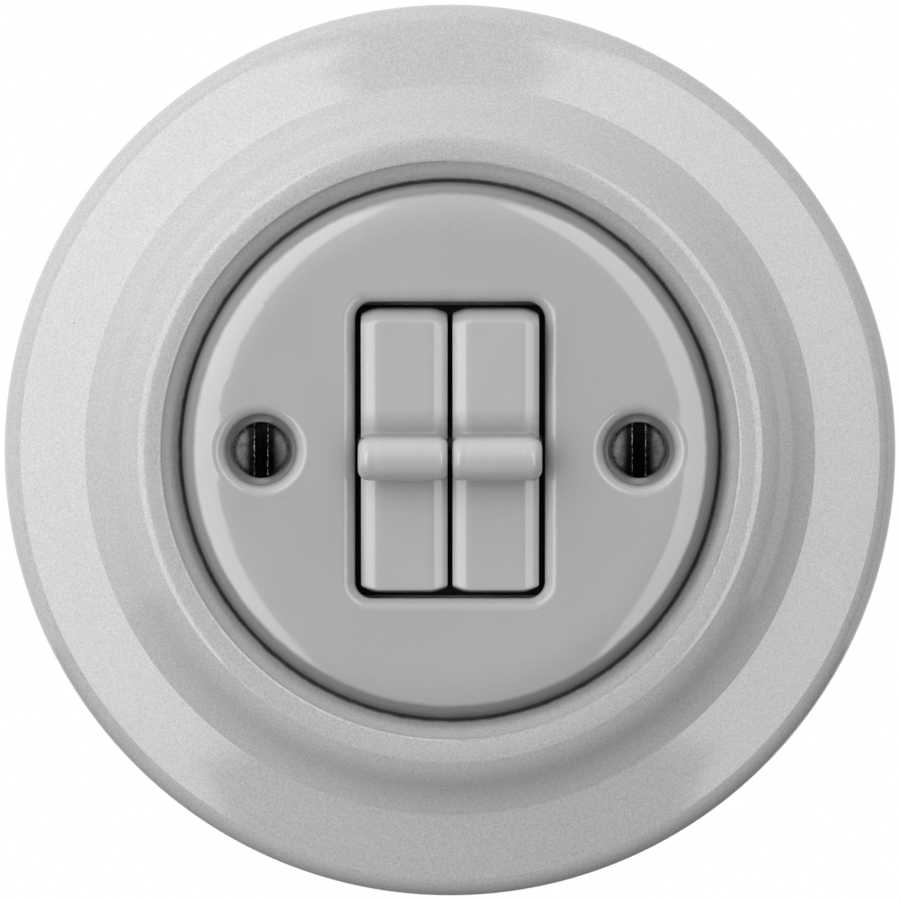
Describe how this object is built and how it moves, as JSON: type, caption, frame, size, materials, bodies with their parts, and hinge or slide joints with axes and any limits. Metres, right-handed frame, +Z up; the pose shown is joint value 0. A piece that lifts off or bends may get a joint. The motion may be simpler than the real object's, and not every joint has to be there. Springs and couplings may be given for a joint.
{
  "type": "double toggle switch",
  "caption": "Round flush wall switch with a moulded glazed ceramic frame, screwed cover disc and a pair of rocking toggle levers over an over-centre snap mechanism.",
  "frame": {"origin": "on the wall plane, at the centre of the round frame", "axes": "-Y out of the wall towards the user, +Z up, +X to the user's right"},
  "size_m": [0.1, 0.0375, 0.1],
  "materials": {
    "frame_glaze": "light grey gloss glaze with fine speckle",
    "cover_glaze": "mid grey gloss glaze",
    "lever_glaze": "mid grey gloss glaze",
    "dark_screw": "dark burnished steel",
    "insulator": "black brown moulded thermosetting plastic",
    "rear_insulator": "cream moulded insulating plastic",
    "lever_plastic": "black plastic",
    "zinc_plate": "zinc plated pressed steel",
    "bright_steel": "ground steel",
    "spring_steel": "drawn wire",
    "contact_brass": "stamped brass",
    "contact_silver": "satin silver",
    "zinc_screw": "zinc plated"
  },
  "bodies": {
    "fixed_parts": {"outer_frame": "frame_glaze", "cover_plate": "cover_glaze", "cover_screws": "dark_screw", "mechanism_base": "insulator", "rear_cover": "rear_insulator", "support_ring": "zinc_plate", "assembly_rivets": "bright_steel", "pivot_pin": "bright_steel", "terminal_screws": "zinc_screw", "common_terminal_left": "contact_brass", "upper_fixed_contact_left": "contact_brass", "lower_fixed_contact_left": "contact_brass", "upper_fixed_button_left": "contact_silver", "lower_fixed_button_left": "contact_silver", "common_terminal_right": "contact_brass", "upper_fixed_contact_right": "contact_brass", "lower_fixed_contact_right": "contact_brass", "upper_fixed_button_right": "contact_silver", "lower_fixed_button_right": "contact_silver"},
    "left_lever": {"lever_left": "lever_glaze", "lever_carrier_left": "lever_plastic", "snap_spring_left": "spring_steel"},
    "left_plunger": {"plunger_left": "contact_brass"},
    "left_rocker": {"contact_rocker_left": "contact_brass", "rocker_buttons_left": "contact_silver"},
    "right_lever": {"lever_right": "lever_glaze", "lever_carrier_right": "lever_plastic", "snap_spring_right": "spring_steel"},
    "right_plunger": {"plunger_right": "contact_brass"},
    "right_rocker": {"contact_rocker_right": "contact_brass", "rocker_buttons_right": "contact_silver"}
  },
  "joints": [
    {"name": "left_lever_rock", "type": "hinge", "parent": "fixed_parts", "child": "left_lever", "pos_m": [-0.00507, -0.009, 0], "axis": [1, 0, 0], "range_deg": [-15, 0]},
    {"name": "left_plunger_slide", "type": "slide", "parent": "left_lever", "child": "left_plunger", "axis": [0, -0.9914, -0.1305], "range_m": [0, 0.0008], "stiffness_N_per_m": 800, "springref_m": -0.003, "deforming": ["snap_spring_left"]},
    {"name": "left_rocker_tilt", "type": "hinge", "parent": "fixed_parts", "child": "left_rocker", "pos_m": [-0.00507, 0.00653, 0], "axis": [1, 0, 0], "range_deg": [0, 16]},
    {"name": "right_lever_rock", "type": "hinge", "parent": "fixed_parts", "child": "right_lever", "pos_m": [0.00507, -0.009, 0], "axis": [1, 0, 0], "range_deg": [-15, 0]},
    {"name": "right_plunger_slide", "type": "slide", "parent": "right_lever", "child": "right_plunger", "axis": [0, -0.9914, -0.1305], "range_m": [0, 0.0008], "stiffness_N_per_m": 800, "springref_m": -0.003, "deforming": ["snap_spring_right"]},
    {"name": "right_rocker_tilt", "type": "hinge", "parent": "fixed_parts", "child": "right_rocker", "pos_m": [0.00507, 0.00653, 0], "axis": [1, 0, 0], "range_deg": [0, 16]}
  ],
  "couplings": [
    {"joint": "left_rocker_tilt", "follows": "left_lever_rock", "ratio": -1.0666},
    {"joint": "right_rocker_tilt", "follows": "right_lever_rock", "ratio": -1.0666}
  ]
}
